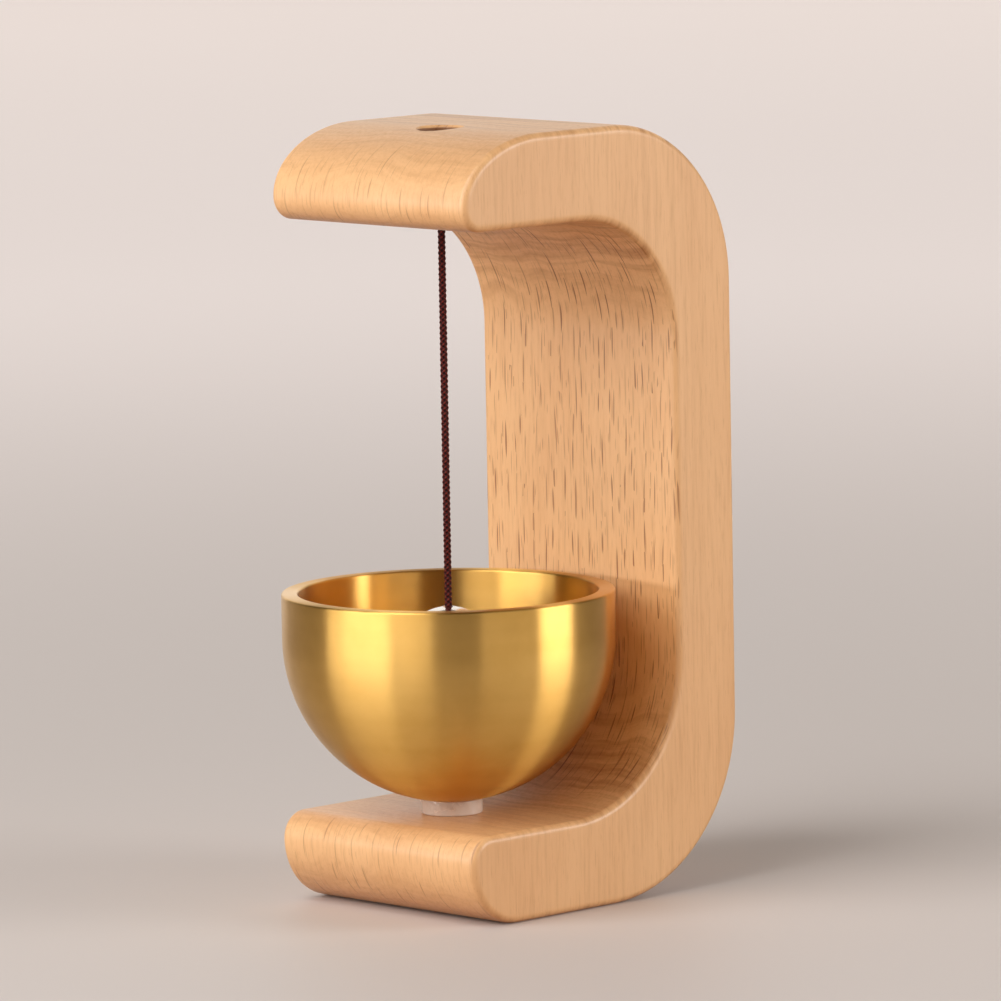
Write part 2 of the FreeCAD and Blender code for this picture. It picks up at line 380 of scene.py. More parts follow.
@dataclass(frozen=True)
class Steel:
    """Steel with hair-fine marks."""

    name: str
    clean: Colour
    dull: Colour
    roughness: float
    spread: float
    marks: float

    def build(self) -> bpy.types.Material:
        """The steel material."""
        graph = Graph(self.name)
        along = graph.attribute("along")
        marks = graph.noise(graph.joined(along, 0.3, 0.7), scale=4.0, detail=4.0, roughness=0.7)
        haze = graph.noise((0.25, 0.25, 0.25), detail=4.0, roughness=0.6)
        colour = graph.mixed(graph.ranged(haze, 0.4, 0.8, 0.0, 0.6), self.clean, self.dull)
        roughness = graph.ranged(haze, 0.3, 0.75, self.roughness, self.roughness + self.spread)
        graph.surface(colour, roughness, marks, self.marks)
        graph.constants(Metallic=1.0)
        return graph.material


@dataclass(frozen=True)
class MilkyPlastic:
    """Moulded translucent plastic, slightly hazed."""

    clear: Colour = srgb(228, 210, 196)
    milky: Colour = srgb(212, 190, 172)

    def build(self) -> bpy.types.Material:
        """The plastic material."""
        graph = Graph("milky_plastic")
        haze = graph.noise((0.35, 0.35, 0.35), detail=2.0)
        colour = graph.mixed(graph.ranged(haze, 0.35, 0.7), self.clear, self.milky)
        roughness = graph.ranged(haze, 0.3, 0.7, 0.2, 0.3)
        graph.surface(colour, roughness, haze, 0.002 * MM)
        graph.constants(Transmission_Weight=0.12, IOR=1.46)
        return graph.material


@dataclass(frozen=True)
class PadRubber:
    """Soft black rubber with a matt skin."""

    black: Colour = srgb(34, 31, 29)
    worn: Colour = srgb(62, 57, 53)

    def build(self) -> bpy.types.Material:
        """The rubber material."""
        graph = Graph("black_rubber")
        grain = graph.noise((4, 4, 4), detail=3.0, roughness=0.6)
        colour = graph.mixed(graph.ranged(grain, 0.4, 0.8), self.black, self.worn)
        graph.surface(colour, graph.ranged(grain, 0.3, 0.7, 0.62, 0.85), grain, 0.03 * MM)
        return graph.material


@dataclass(frozen=True)
class BraidThread:
    """Waxed dark red-brown thread, with painted shade deep between its strands and a painted
    highlight on their tops.

    The shade's and the highlight's pairs are distances from the cord's middle, in millimetres,
    where each starts and ends.
    """

    # The darkest colour is the thread's own dark and the painted shade between the strands; the
    # lightest is the painted highlight on the strands' tops.
    dark_and_crevice_shade: Colour = srgb(26, 2, 3)
    red: Colour = srgb(74, 9, 7)
    painted_highlight: Colour = srgb(150, 52, 36)
    crevice_shade_fade: Point = (0.42, 0.57)
    painted_highlight_rise: Point = (0.53, 0.6)

    def build(self) -> bpy.types.Material:
        """The thread material."""
        graph = Graph("braid_thread")
        ply = graph.noise((5, 5, 1.6), detail=3.0, roughness=0.6)
        hair = graph.noise((16, 16, 5), detail=2.0)
        x, y, _ = graph.parts(graph.stretched(1, 1, 1))
        out = graph.from_axis(x, y)
        # Painted shade: darker deeper in the braid, between the strands. Painted highlight: lighter
        # on the strands' outermost tops, broken by fibre noise.
        crevice_shade_fade = graph.ranged(out, *self.crevice_shade_fade, smooth=True)
        painted_highlight_rise = graph.ranged(out, *self.painted_highlight_rise, smooth=True)
        red_share = graph.product(crevice_shade_fade, graph.ranged(ply, 0.3, 0.6, 0.4, 1.0))
        colour = graph.mixed(red_share, self.dark_and_crevice_shade, self.red)
        painted_highlight_share = graph.product(painted_highlight_rise, graph.ranged(hair, 0.35, 0.6, 0.35, 0.95))
        colour = graph.mixed(painted_highlight_share, colour, self.painted_highlight)
        graph.surface(colour, graph.ranged(ply, 0.3, 0.7, 0.42, 0.62), hair, 0.03 * MM)
        graph.constants(Specular_IOR_Level=0.22)
        return graph.material


class Finish(Enum):
    """The finishes of this bell, each with its name and what makes it."""

    BEECH = ("beech", Beech())
    BRASS = ("brass", TurnedBrass())
    PLASTIC = ("clear_plastic", MilkyPlastic())
    RUBBER = ("pad_rubber", PadRubber())
    ZINC = ("zinc_steel", Steel(
        "zinc_plate", srgb(214, 215, 214), srgb(168, 170, 172), 0.26, 0.14, 0.012 * MM))
    BALL = ("polished_steel", Steel(
        "ball_steel", srgb(236, 232, 229), srgb(212, 206, 202), 0.09, 0.09, 0.001 * MM))
    THREAD = ("braid", BraidThread())

    @cache
    def material(self) -> bpy.types.Material:
        """The finish's material, made once."""
        return self.value[1].build()


# --- Mesh helpers


def arc(centre: Point, radii: Point, start: float, end: float, steps: int) -> list[Point]:
    """Points along an arc of an ellipse, by its half axes and by angles from across to up."""
    turns = [math.radians(start + (end - start) * i / steps) for i in range(steps + 1)]
    return [(centre[0] + radii[0] * math.cos(a), centre[1] + radii[1] * math.sin(a)) for a in turns]


def rounded(corners: Sequence[tuple[float, float, float]], steps: int = 4) -> list[Point]:
    """An outline whose corners are each rounded by their own radius.

    Args:
        corners: Each corner's radius from the axis, height, and rounding, which may be 0.
        steps: How many straight pieces a rounding has.

    Returns:
        The points.
    """
    points: list[Point] = []
    count = len(corners)
    for index, (across, height, rounding) in enumerate(corners):
        here = Vector((across, height))
        if rounding == 0 or index in (0, count - 1):
            points.append((across, height))
            continue
        before = (Vector(corners[index - 1][:2]) - here).normalized()
        after = (Vector(corners[index + 1][:2]) - here).normalized()
        for step in range(steps + 1):
            share = step / steps
            bend = before * (1 - share) ** 2 + after * share ** 2
            points.append(tuple(here + bend * rounding))
    return points


def linked(name: str, data: bpy.types.Mesh, sharp: float = 35.0) -> bpy.types.Object:
    """A linked object from a mesh, smooth but for edges sharper than an angle in degrees."""
    data.polygons.foreach_set("use_smooth", [True] * len(data.polygons))
    data.set_sharp_from_angle(angle=math.radians(sharp))
    piece = bpy.data.objects.new(name, data)
    bpy.context.scene.collection.objects.link(piece)
    return piece


def object_of(name: str, mesh: bmesh.types.BMesh, sharp: float = 35.0) -> bpy.types.Object:
    """The same for a bmesh, which is used up."""
    data = bpy.data.meshes.new(name)
    mesh.to_mesh(data)
    mesh.free()
    return linked(name, data, sharp)


def meshed(curve: bpy.types.Curve) -> bpy.types.Mesh:
    """A curve's mesh. The curve is used up."""
    holder = bpy.data.objects.new(curve.name, curve)
    data = bpy.data.meshes.new_from_object(holder)
    bpy.data.objects.remove(holder)
    bpy.data.curves.remove(curve)
    return data


def heading(turn: float, rise: float) -> Vector:
    """The way to the front, turned about Z and then raised, both in degrees."""
    turn, rise = math.radians(turn), math.radians(rise)
    return Vector((math.sin(turn) * math.cos(rise), -math.cos(turn) * math.cos(rise),
                   math.sin(rise)))


def turned(name: str, outline: Sequence[Point], steps: int = 128,
           closed: bool = False) -> bpy.types.Object:
    """A piece turned about the bell's axis.

    Args:
        name: The piece's name.
        outline: Points of radius and height. An open outline starts and ends on the axis.
        steps: How many steps the turn has.
        closed: Whether the outline's last point joins its first.

    Returns:
        The piece. Its vertices carry their way along the outline, in millimetres, as "along".
    """
    mesh = bmesh.new()
    layer = mesh.verts.layers.float.new("along")
    way = 0.0
    verts = []
    for index, (radius, height) in enumerate(outline):
        vert = mesh.verts.new((radius, 0, height))
        if index:
            way += (vert.co - verts[-1].co).length / MM
        vert[layer] = way
        verts.append(vert)
    pairs = list(zip(verts, verts[1:]))
    if closed:
        pairs.append((verts[-1], verts[0]))
    edges = [mesh.edges.new(pair) for pair in pairs]
    bmesh.ops.spin(mesh, geom=verts + edges, cent=(0, 0, 0), axis=(0, 0, 1), dvec=(0, 0, 0),
                   angle=math.tau, steps=steps, use_merge=True, use_duplicate=False)
    bmesh.ops.remove_doubles(mesh, verts=mesh.verts, dist=1e-7)
    bmesh.ops.recalc_face_normals(mesh, faces=mesh.faces)
    return object_of(name, mesh)


def carved(piece: bpy.types.Object, cutters: Sequence[bpy.types.Object],
           sharp: float = 35.0) -> bpy.types.Object:
    """A piece with other shapes cut out of it. The cutters are used up.

    Args:
        piece: The piece, which its cut copy replaces.
        cutters: The shapes to take away.
        sharp: The angle above which an edge is sharp, in degrees.

    Returns:
        The cut piece.
    """
    for cutter in cutters:
        modifier = piece.modifiers.new(cutter.name, "BOOLEAN")
        modifier.operation = "DIFFERENCE"
        modifier.solver = "EXACT"
        modifier.object = cutter
    bpy.context.view_layer.update()
    graph = bpy.context.evaluated_depsgraph_get()
    data = bpy.data.meshes.new_from_object(piece.evaluated_get(graph))
    name = piece.name
    for used in (piece, *cutters):
        bpy.data.objects.remove(used)
    data.name = name
    return linked(name, data, sharp)


def dress(piece: bpy.types.Object, finish: Finish, body: Body, *nodes: str) -> bpy.types.Object:
    """Gives a piece its finish, its body and the nodes that it stands for.

    Args:
        piece: The piece.
        finish: Its finish.
        body: The body that it rides on.
        nodes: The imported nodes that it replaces.

    Returns:
        The same piece.
    """
    piece.data.materials.clear()
    piece.data.materials.append(finish.material())
    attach(piece, body.value)
    if nodes:
        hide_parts(*nodes)
    faces = len(piece.data.polygons)
    LOG.info("%s: %d faces, %s, rides on %s", piece.name, faces, finish.value[0], body.value)
    return piece


# --- Stand


@dataclass
class BeechFrame:
    """The C-shaped beech block, with the stepped hole for the cord and the screw's blind hole."""

    back: float = 12.6 * MM
    upper_arm: float = 13.8 * MM
    lower_arm: float = 13.7 * MM
    upper_reach: float = 15.5 * MM
    lower_reach: float = 16.0 * MM
    upper_outer: float = 24.75 * MM
    lower_outer: float = 26.55 * MM
    upper_inner: float = 19.05 * MM
    lower_inner: float = 22.05 * MM
    upper_nose: float = 16.5 * MM
    upper_lip: float = 3.6 * MM
    lower_nose: float = 9.7 * MM
    lower_lip: float = 4.0 * MM
    rounding: float = 1.1 * MM
    pocket: float = 3.3 * MM
    pocket_depth: float = 8.0 * MM
    pocket_chamfer: float = 0.45 * MM
    cord_hole: float = 1.1 * MM
    cord_mouth: float = 0.35 * MM
    screw_hole: float = 1.78 * MM
    wood_under_screw: float = 3.85 * MM
    support: float = 0.8 * MM

    def __post_init__(self) -> None:
        """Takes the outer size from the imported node."""
        self.low, self.high = map(Vector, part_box("frame"))

    @property
    def top(self) -> float:
        """The height of the frame."""
        return self.high.z

    @property
    def ceiling(self) -> float:
        """The height of the upper arm's underside."""
        return self.top - self.upper_arm

    def outline(self) -> list[Point]:
        """The C's outline in the YZ plane, from the heel round the back and the arms."""
        back, top, deck, ceiling = self.high.y, self.top, self.lower_arm, self.ceiling
        inner = back - self.back
        upper_rise = top - self.upper_arm + self.upper_lip
        lower_rise = deck - self.lower_lip
        corners = [
            arc((back - self.lower_outer, self.lower_outer), (self.lower_outer,) * 2, -90, 0, 40),
            arc((back - self.upper_outer, top - self.upper_outer),
                (self.upper_outer,) * 2, 0, 90, 40),
            arc((self.upper_nose - self.upper_reach, upper_rise),
                (self.upper_nose, top - upper_rise), 90, 180, 40),
            arc((self.upper_lip - self.upper_reach, upper_rise),
                (self.upper_lip,) * 2, 180, 270, 14),
            arc((inner - self.upper_inner, ceiling - self.upper_inner),
                (self.upper_inner,) * 2, 90, 0, 36),
            arc((inner - self.lower_inner, deck + self.lower_inner),
                (self.lower_inner,) * 2, 0, -90, 36),
            arc((self.lower_lip - self.lower_reach, lower_rise),
                (self.lower_lip,) * 2, 90, 180, 14),
            arc((self.lower_nose - self.lower_reach, lower_rise),
                (self.lower_nose, lower_rise), 180, 270, 28),
        ]
        points: list[Point] = []
        for corner, following in zip(corners, corners[1:] + corners[:1]):
            start, end = Vector(corner[-1]), Vector(following[0])
            points += corner
            run = end - start
            if run.length > 4 * self.support:
                step = run.normalized() * self.support
                points += [tuple(start + step), tuple(end - step)]
            elif run.length < 1e-6:
                points.pop()
        return points

    def block(self) -> bpy.types.Object:
        """The C-shaped block with its side edges rounded over."""
        mesh = bmesh.new()
        side = mesh.faces.new([mesh.verts.new((self.low.x, y, z)) for y, z in self.outline()])
        raised = bmesh.ops.extrude_face_region(mesh, geom=[side], use_keep_orig=True)
        moved = [item for item in raised["geom"] if isinstance(item, bmesh.types.BMVert)]
        bmesh.ops.translate(mesh, verts=moved, vec=(self.high.x - self.low.x, 0, 0))
        bmesh.ops.recalc_face_normals(mesh, faces=mesh.faces)
        rims = [edge for edge in mesh.edges
                if abs(edge.verts[0].co.x - edge.verts[1].co.x) < 1e-9]
        bmesh.ops.bevel(mesh, geom=rims, offset=self.rounding, offset_type="OFFSET", segments=7,
                        profile=0.5, affect="EDGES", material=-1, clamp_overlap=False)
        sides = [face for face in mesh.faces
                 if abs(face.normal.x) > 0.9999 and len(face.verts) > 50]
        bmesh.ops.inset_region(mesh, faces=sides, thickness=self.support / 2, use_even_offset=True)
        return object_of("beech_frame", mesh)

    def cutters(self) -> list[bpy.types.Object]:
        """The shapes of the stepped hole through the upper arm and of the screw's hole."""
        past = 1.0 * MM
        floor = self.top - self.pocket_depth
        chamfer = self.pocket + self.pocket_chamfer
        mouth = self.cord_hole + self.cord_mouth
        hole = [
            (0, self.ceiling - past),
            (mouth + past, self.ceiling - past),
            (self.cord_hole, self.ceiling + self.cord_mouth),
            (self.cord_hole, floor),
            (self.pocket, floor),
            (self.pocket, self.top - self.pocket_chamfer),
            (chamfer + past, self.top + past),
            (0, self.top + past),
        ]
        pilot = [
            (0, self.wood_under_screw),
            (self.screw_hole, self.wood_under_screw),
            (self.screw_hole, self.lower_arm + past),
            (0, self.lower_arm + past),
        ]
        return [turned("cord_hole", hole, 64), turned("screw_hole", pilot, 48)]

    def make(self) -> None:
        """Builds and dresses the frame."""
        piece = carved(self.block(), self.cutters(), 28.0)
        dress(piece, Finish.BEECH, Body.STAND, "frame")


@dataclass
class BrassBowl:
    """The bowl bell: a hemisphere that runs up into a short straight wall."""

    wall: float = 2.5 * MM
    seat: float = 5.0 * MM
    floor_radius: float = 5.9 * MM
    hole: float = 2.0 * MM
    rim_break: float = 0.35 * MM
    hole_break: float = 0.2 * MM

    def make(self) -> None:
        """Builds and dresses the bowl."""
        low, high = map(Vector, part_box("bell_bowl"))
        outer = high.x
        inner = outer - self.wall
        centre = low.z + math.sqrt(outer ** 2 - self.seat ** 2)
        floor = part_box("bowl_pad")[0][2]
        seat_angle = math.degrees(math.asin(self.seat / outer)) - 90
        floor_angle = math.degrees(math.asin(self.floor_radius / inner)) - 90
        lip = self.rim_break
        outline = [
            (self.hole, low.z + self.hole_break),
            (self.hole + self.hole_break, low.z),
            (self.seat - self.hole_break, low.z),
            *arc((0, centre), (outer, outer), seat_angle, 0, 72),
            *arc((outer - lip, high.z - lip), (lip, lip), 0, 90, 6),
            *arc((inner + lip, high.z - lip), (lip, lip), 90, 180, 6),
            *arc((0, centre), (inner, inner), 0, floor_angle, 64),
            (self.hole + self.hole_break, floor),
            (self.hole, floor - self.hole_break),
        ]
        piece = turned("brass_bowl", outline, 224, closed=True)
        dress(piece, Finish.BRASS, Body.STAND, "bell_bowl")


@dataclass
class BowlFixing:
    """What holds the bowl: the spacer, the pad, the washer and the wood screw."""

    hole: float = 2.0 * MM
    spacer_break: float = 0.3 * MM
    pad_break: float = 0.22 * MM
    washer_break: float = 0.15 * MM
    head_rim: float = 0.7 * MM
    head_break: float = 0.15 * MM
    shank: float = 1.75 * MM
    core: float = 1.25 * MM
    plain_shank: float = 6.6 * MM
    tip: float = 3.0 * MM
    thread_pitch: float = 1.5 * MM
    thread_half: float = 0.3
    thread_foot: float = 0.9
    thread_steps: int = 40
    recess_width: float = 0.9 * MM
    recess_length: float = 4.0 * MM
    recess_depth: float = 1.4 * MM
    recess_past: float = 0.1 * MM
    recess_taper: float = 0.5

    def ring(self, name: str, node: str, edge: float, finish: Finish) -> None:
        """Builds one flat ring with rounded edges, the size of its node.

        Args:
            name: The piece's name.
            node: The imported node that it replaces.
            edge: How far its edges are rounded.
            finish: Its finish.
        """
        low, high = map(Vector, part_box(node))
        outline = rounded([
            (self.hole, (low.z + high.z) / 2, 0),
            (self.hole, low.z, edge),
            (high.x, low.z, edge),
            (high.x, high.z, edge),
            (self.hole, high.z, edge),
            (self.hole, (low.z + high.z) / 2, 0),
        ])[:-1]
        dress(turned(name, outline, 96, closed=True), finish, Body.STAND, node)

    def thread(self, under: float, tip: float) -> bpy.types.Object:
        """The screw's thread, a pointed ridge wound round the core.

        Args:
            under: The height of the head's underside.
            tip: The height of the screw's tip.

        Returns:
            The thread as a piece of its own.
        """
        start = under - self.plain_shank
        turns = (start - tip - self.tip / 2) / self.thread_pitch
        half = self.thread_half * self.thread_pitch
        foot = self.core * self.thread_foot
        mesh = bmesh.new()
        corners = [(foot, start + half), (self.shank, start), (foot, start - half)]
        face = mesh.faces.new([mesh.verts.new((radius, 0, height)) for radius, height in corners])
        bmesh.ops.spin(mesh, geom=[face], cent=(0, 0, 0), axis=(0, 0, 1), angle=math.tau * turns,
                       steps=int(self.thread_steps * turns),
                       dvec=(0, 0, -self.thread_pitch / self.thread_steps),
                       use_merge=False, use_duplicate=False)
        bmesh.ops.recalc_face_normals(mesh, faces=mesh.faces)
        return object_of("screw_thread", mesh)

    def screw(self) -> None:
        """Builds the pan-head wood screw with its cross recess and its thread."""
        low, high = map(Vector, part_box("bowl_screw"))
        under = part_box("screw_washer")[1][2]
        head = high.x
        dome = high.z - under - self.head_rim
        radius = (head ** 2 + dome ** 2) / (2 * dome)
        reach = math.degrees(math.asin(head / radius))
        outline = [
            *reversed(arc((0, high.z - radius), (radius, radius), 90 - reach, 90, 14)),
            (head, under + self.head_break),
            (head - self.head_break, under),
            (self.shank, under),
            (self.shank, under - self.plain_shank),
            (self.core, under - self.plain_shank - self.head_rim),
            (self.core, low.z + self.tip),
            (0, low.z),
        ]
        piece = turned("wood_screw", outline, 96)
        dress(carved(piece, [self.recess(high.z)]), Finish.ZINC, Body.STAND, "bowl_screw")
        dress(self.thread(under, low.z), Finish.ZINC, Body.STAND)

    def recess(self, top: float) -> bpy.types.Object:
        """The cross recess, narrower at its floor."""
        reach, half = self.recess_length / 2, self.recess_width / 2
        arm = [(half, half), (reach, half), (reach, -half)]
        mesh = bmesh.new()
        verts = []
        for quarter in range(4):
            turn = Matrix.Rotation(-quarter * math.pi / 2, 3, "Z")
            verts += [mesh.verts.new(turn @ Vector((x, y, top + self.recess_past))) for x, y in arm]
        mouth = mesh.faces.new(verts)
        sunk = bmesh.ops.extrude_face_region(mesh, geom=[mouth], use_keep_orig=True)
        floor = [item for item in sunk["geom"] if isinstance(item, bmesh.types.BMVert)]
        bmesh.ops.translate(mesh, verts=floor, vec=(0, 0, -self.recess_past - self.recess_depth))
        bmesh.ops.scale(mesh, verts=floor, vec=(self.recess_taper, self.recess_taper, 1.0))
        bmesh.ops.recalc_face_normals(mesh, faces=mesh.faces)
        return object_of("cross_recess", mesh)

    def make(self) -> None:
        """Builds and dresses everything that holds the bowl."""
        self.ring("spacer_ring", "bowl_spacer", self.spacer_break, Finish.PLASTIC)
        self.ring("pad_ring", "bowl_pad", self.pad_break, Finish.RUBBER)
        self.ring("washer_ring", "screw_washer", self.washer_break, Finish.ZINC)
        self.screw()


# --- Clapper


@dataclass
class BraidedCord:
    """A round braid of eight strands along a smooth route."""

    diameter: float = 1.2 * MM
    pitch: float = 3.2 * MM
    strands_each_way: int = 4
    strand: float = 0.215 * MM
    core: float = 0.3 * MM
    weave: float = 0.06 * MM
    samples: int = 24
    sealed_tip: float = 0.45 * MM

    def route(self, name: str, points: Sequence[Vector]) -> list[Vector]:
        """The smooth line that a cord follows, at even steps.

        Args:
            name: The cord's name.
            points: The route's control points.

        Returns:
            The line's points.
        """
        curve = bpy.data.curves.new(name + "_route", "CURVE")
        curve.dimensions = "3D"
        curve.resolution_u = self.samples
        spline = curve.splines.new("NURBS")
        spline.points.add(len(points) - 1)
        for control, point in zip(spline.points, points):
            control.co = (*point, 1.0)
        spline.order_u = 3
        spline.use_endpoint_u = True
        data = meshed(curve)
        line = [vert.co.copy() for vert in data.vertices]
        bpy.data.meshes.remove(data)
        return self.evenly(line)

    def evenly(self, line: Sequence[Vector]) -> list[Vector]:
        """The same line at steps of a share of the braid's pitch."""
        ways = [0.0]
        for before, after in zip(line, line[1:]):
            ways.append(ways[-1] + (after - before).length)
        count = max(2, round(ways[-1] * self.samples / self.pitch))
        points = []
        index = 0
        for step in range(count + 1):
            way = ways[-1] * step / count
            while index < len(ways) - 2 and ways[index + 1] < way:
                index += 1
            share = (way - ways[index]) / max(ways[index + 1] - ways[index], 1e-12)
            points.append(line[index].lerp(line[index + 1], share))
        return points

    def sides(self, line: Sequence[Vector]) -> list[tuple[Vector, Vector]]:
        """Two directions square to the line at each point, carried along without twist."""
        tangents = [(b - a).normalized() for a, b in zip(line, line[1:])]
        tangents.append(tangents[-1])
        side = tangents[0].orthogonal().normalized()
        frames = []
        for tangent in tangents:
            side = (side - tangent * side.dot(tangent)).normalized()
            frames.append((side.copy(), tangent.cross(side)))
        return frames

    def strand_line(self, line: Sequence[Vector], frames: Sequence[tuple[Vector, Vector]],
                    number: int, way: int, sealed: bool) -> list[Vector]:
        """One strand's line, over one crossing strand and under the next.

        Args:
            line: The cord's middle.
            frames: The directions square to it.
            number: The strand's number in its winding.
            way: 1 for one winding and -1 for the other.
            sealed: Whether the strands draw together at the line's end.

        Returns:
            The strand's points.
        """
        middle = self.diameter / 2 - self.strand - self.weave
        first = math.tau * number / self.strands_each_way
        points = []
        for index, (point, (side, other)) in enumerate(zip(line, frames)):
            turn = math.tau * index / self.samples
            reach = middle + way * self.weave * math.cos(self.strands_each_way * turn)
            left = (point - line[-1]).length / self.sealed_tip
            if sealed and left < 1:
                reach *= math.sqrt(1 - (1 - left) ** 2)
            angle = way * turn + first
            points.append(point + (side * math.cos(angle) + other * math.sin(angle)) * reach)
        return points

    def make(self, name: str, points: Sequence[Vector],
             sealed: bool = False) -> tuple[bpy.types.Object, list[Vector]]:
        """Builds a braid along a route.

        Args:
            name: The piece's name.
            points: The route's control points.
            sealed: Whether the braid's last end is sealed.

        Returns:
            The braid and the line of its middle.
        """
        line = self.route(name, points)
        frames = self.sides(line)
        curve = bpy.data.curves.new(name, "CURVE")
        curve.dimensions = "3D"
        curve.bevel_depth = self.strand
        curve.bevel_resolution = 2
        curve.use_fill_caps = True
        lines = [(line, self.core / self.strand)]
        for way in (1, -1):
            for number in range(self.strands_each_way):
                lines.append((self.strand_line(line, frames, number, way, sealed), 1.0))
        for path, thickness in lines:
            spline = curve.splines.new("POLY")
            spline.points.add(len(path) - 1)
            for control, point in zip(spline.points, path):
                control.co = (*point, 1.0)
                control.radius = thickness
        data = meshed(curve)
        mesh = bmesh.new()
        mesh.from_mesh(data)
        bpy.data.meshes.remove(data)
        bmesh.ops.remove_doubles(mesh, verts=mesh.verts, dist=1e-7)
        bmesh.ops.recalc_face_normals(mesh, faces=mesh.faces)
        return object_of(name, mesh, 60.0), line


@dataclass
class Clapper:
    """The drilled ball, the cord that it hangs on, and the cord's two knots."""

    bore: float = 0.65 * MM
    bore_break: float = 0.3 * MM
    knot_wind: float = 1.14 * MM
    knot_height: float = 2.8 * MM
    knot_turns: int = 2
    knot_steps: int = 8
    tail: tuple[Point, ...] = ((0.3 * MM, -0.9 * MM), (0.55 * MM, -0.35 * MM), (0.2 * MM, 0.0))
    mouth_stretch: float = 1.6
    cord: BraidedCord = field(default_factory=BraidedCord)

    def __post_init__(self) -> None:
        """Takes the cord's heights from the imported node."""
        self.bend = Vector((0, 0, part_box("clapper_cord")[1][2]))
        self.knot_top = Vector((0, 0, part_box("clapper_cord")[0][2]))

    def knot_route(self, enter: float, leave: float) -> list[Vector]:
        """A stopper knot: the cord runs through, turns back and winds round itself.

        Args:
            enter: The height at which the cord enters.
            leave: The height at which its tail ends, on the other side.

        Returns:
            The route's control points.
        """
        way = 1 if leave > enter else -1
        radius = self.cord.diameter / 2
        far = enter + way * (self.knot_height - radius)
        near = enter + way * radius
        points = [Vector((0, 0, enter)), Vector((0, 0, (enter + far) / 2)), Vector((0, 0, far))]
        steps = self.knot_steps * self.knot_turns
        for step in range(steps + 1):
            angle = math.tau * step / self.knot_steps
            height = far + (near - far) * step / steps
            points.append(Vector((self.knot_wind * math.cos(angle),
                                  self.knot_wind * math.sin(angle), height)))
        heights = ((near + far) / 2, far, leave)
        return points + [Vector((x, y, height)) for (x, y), height in zip(self.tail, heights)]

    def hang(self) -> None:
        """Builds the hanging cord, the knot under the ball and the ball.
        """
        rope, line = self.cord.make("hanging_cord", [self.bend, self.knot_top])
        dress(rope, Finish.THREAD, Body.CLAPPER, "clapper_cord")
        low, high = (corner[2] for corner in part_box("clapper_knot"))
        knot, _ = self.cord.make("ball_knot", self.knot_route(high, low), sealed=True)
        dress(knot, Finish.THREAD, Body.CLAPPER, "clapper_knot")
        self.ball()

    def ball(self) -> None:
        """Builds the drilled ball with eased mouths."""
        low, high = map(Vector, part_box("clapper_ball"))
        radius = high.x
        middle = (low.z + high.z) / 2
        mouth = self.bore + self.bore_break
        eased = (self.bore_break, self.bore_break * self.mouth_stretch)
        open_angle = math.degrees(math.acos(mouth / radius))
        outline = [
            (self.bore, low.z + 2 * self.bore_break),
            *arc((mouth, low.z + eased[1]), eased, 180, 262, 5)[:-1],
            *arc((0, middle), (radius, radius), -open_angle, open_angle, 96),
            *arc((mouth, high.z - eased[1]), eased, 98, 180, 5)[1:],
            (self.bore, high.z - 2 * self.bore_break),
        ]
        dress(turned("steel_ball", outline, 128, closed=True), Finish.BALL, Body.CLAPPER,
              "clapper_ball")

    def anchor(self) -> None:
        """Builds the knot in the frame's pocket and dresses the cord's run below it."""
        low, high = (corner[2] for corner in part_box("cord_top_knot"))
        knot, _ = self.cord.make("pocket_knot", self.knot_route(low, high), sealed=True)
        dress(knot, Finish.THREAD, Body.ANCHOR, "cord_top_knot")
        low, high = (corner[2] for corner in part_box("cord_in_arm"))
        run, _ = self.cord.make("arm_cord", [Vector((0, 0, high)), Vector((0, 0, low))])
        dress(run, Finish.THREAD, Body.ANCHOR, "cord_in_arm")


# --- Studio


@dataclass(frozen=True)
class Softbox:
    """A lamp that points at the bell.

    Its bearing is counted in degrees from the camera's, to the camera's right.
    """

    name: str
    bearing: float
    height: float
    distance: float
    size: Point
    power: float
    colour: tuple[float, float, float]


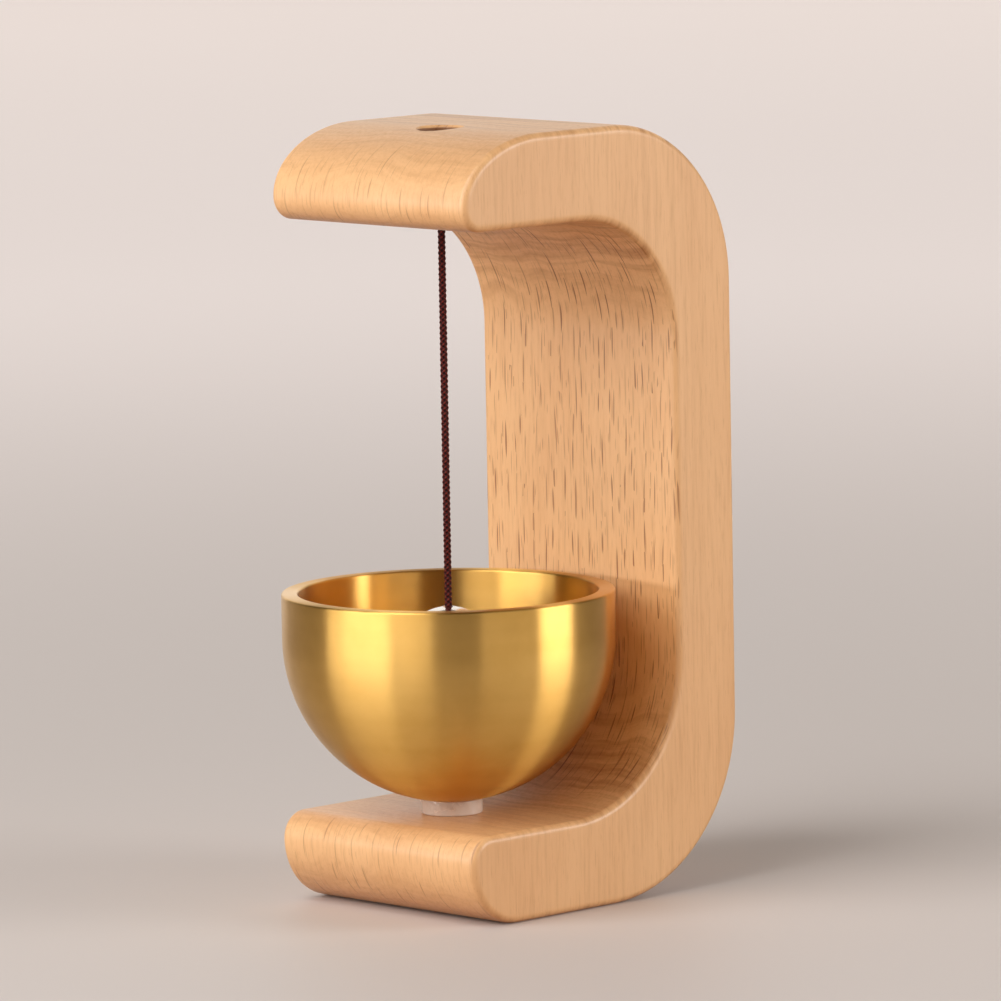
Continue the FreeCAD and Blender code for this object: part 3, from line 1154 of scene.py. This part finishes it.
@dataclass
class Studio:
    """The camera, the lamps, the sky and the floor.

    The floor gives diffuse light back in its bounce colour, and only what looks straight at it,
    or mirrors it, sees the backdrop's glow.
    """

    azimuth: float = 45.08
    elevation: float = 7.165
    roll: float = -1.01
    distance: float = 1249.1 * MM
    aim_across: float = 6.281 * MM
    aim_height: float = 60.454 * MM
    axis_offset: float = 2.525 * MM
    focal_widths: float = 8.343
    sensor: float = 36.0
    view_end: float = 50.0
    floor_half: float = 6.0
    floor_colour: Colour = srgb(208, 198, 193)
    bounce_colour: Colour = srgb(166, 130, 104)
    backdrop_colour: Colour = srgb(231, 219, 216)
    backdrop_from: float = 0.1
    backdrop_to: float = 1.0
    backdrop_strength: float = 0.5
    sky_colour: Colour = srgb(240, 230, 218)
    sky_strength: float = 0.08

    def place(self) -> None:
        """Puts up the camera, the lamps, the sky and the floor."""
        turn, roll = math.radians(self.azimuth), math.radians(self.roll)
        back = heading(self.azimuth, self.elevation)
        right = Vector((math.cos(turn), math.sin(turn), 0))
        up = back.cross(right)
        aim = right * self.aim_across + Vector((0, self.axis_offset, self.aim_height))
        axes = (right * math.cos(roll) + up * math.sin(roll),
                up * math.cos(roll) - right * math.sin(roll), back)
        data = bpy.data.cameras.new("camera")
        data.sensor_width = self.sensor
        data.lens = self.focal_widths * self.sensor
        data.clip_end = self.view_end
        bpy.context.scene.camera = self.put(
            "camera", data, aim + back * self.distance, Matrix(axes).transposed())
        self.lamps(aim)
        self.sky()
        self.floor()

    def put(self, name: str, data: Any, place: Vector, turn: Matrix) -> bpy.types.Object:
        """Puts up a camera or a lamp at a place, turned by a 3 by 3 matrix."""
        item = bpy.data.objects.new(name, data)
        item.matrix_world = Matrix.Translation(place) @ turn.to_4x4()
        bpy.context.scene.collection.objects.link(item)
        return item

    def lamps(self, aim: Vector) -> None:
        """Hangs the softboxes round the bell."""
        for box in LAMPS:
            way = heading(self.azimuth + box.bearing, box.height)
            data = bpy.data.lights.new(box.name, "AREA")
            data.shape = "RECTANGLE"
            data.size, data.size_y = box.size
            data.energy = box.power
            data.color = box.colour
            turn = way.to_track_quat("Z", "Y").to_matrix()
            self.put(box.name, data, aim + way * box.distance, turn)

    def sky(self) -> None:
        """Makes the even pale surroundings."""
        world = bpy.data.worlds.new("studio")
        world.use_nodes = True
        background = world.node_tree.nodes["Background"]
        background.inputs["Color"].default_value = self.sky_colour
        background.inputs["Strength"].default_value = self.sky_strength
        bpy.context.scene.world = world

    def floor(self) -> None:
        """Lays the plain pale floor."""
        mesh = bmesh.new()
        bmesh.ops.create_grid(mesh, x_segments=2, y_segments=2, size=self.floor_half)
        floor = object_of("studio_floor", mesh)
        graph = Graph("studio_floor")
        cloud = graph.noise((0.004, 0.004, 0.004), detail=2.0)
        rays = graph.node("LightPath").outputs
        colour = graph.mixed(graph.product(cloud, 0.05), self.floor_colour, (1, 1, 1, 1))
        graph.surface(graph.mixed(rays["Is Diffuse Ray"], colour, self.bounce_colour))
        graph.constants(Roughness=0.55, Specular_IOR_Level=0.25,
                        Emission_Color=self.backdrop_colour)
        x, y, _ = graph.parts(graph.place)
        seen = graph.math("MAXIMUM", rays["Is Camera Ray"], rays["Is Glossy Ray"])
        seen = graph.math("MAXIMUM", seen, rays["Is Transmission Ray"])
        glow = graph.ranged(graph.from_axis(x, y), self.backdrop_from, self.backdrop_to, 0.0,
                            self.backdrop_strength, smooth=True)
        graph.feed(graph.shader.inputs["Emission Strength"], graph.product(glow, seen))
        floor.data.materials.append(graph.material)


LAMPS = (
    Softbox("left_strip", -66.0, 6.0, 1.1, (1.0, 0.14), 4.0, (1.0, 0.99, 0.98)),
    Softbox("left_softbox", -60.0, 28.0, 1.1, (0.8, 0.4), 5.4, (1.0, 0.99, 0.98)),
    Softbox("right_softbox", 80.0, 14.0, 1.1, (0.54, 0.4), 6.5, (1.0, 0.97, 0.94)),
    Softbox("key_softbox", -50.0, 58.0, 1.4, (0.7, 0.7), 7.0, (1.0, 0.99, 0.98)),
    Softbox("front_softbox", -26.0, 36.0, 1.3, (0.46, 0.5), 1.8, (1.0, 0.96, 0.92)),
    Softbox("back_softbox", 180.0, 20.0, 2.4, (3.0, 1.6), 15.0, (1.0, 0.94, 0.87)),
    Softbox("left_card", -23.0, 10.0, 1.1, (0.46, 0.24), 0.75, (1.0, 0.93, 0.86)),
    Softbox("right_card", 41.0, 12.0, 1.1, (0.74, 0.3), 1.3, (1.0, 0.93, 0.86)),
)


def main() -> None:
    """Builds every piece."""
    logging.basicConfig(level=logging.INFO, format="%(message)s")
    bpy.context.scene.view_settings.view_transform = "Standard"
    Studio().place()
    beech_frame = BeechFrame()
    clapper = Clapper()
    clapper.hang()
    clapper.anchor()
    beech_frame.make()
    BrassBowl().make()
    BowlFixing().make()


if __name__ == "__main__":
    main()
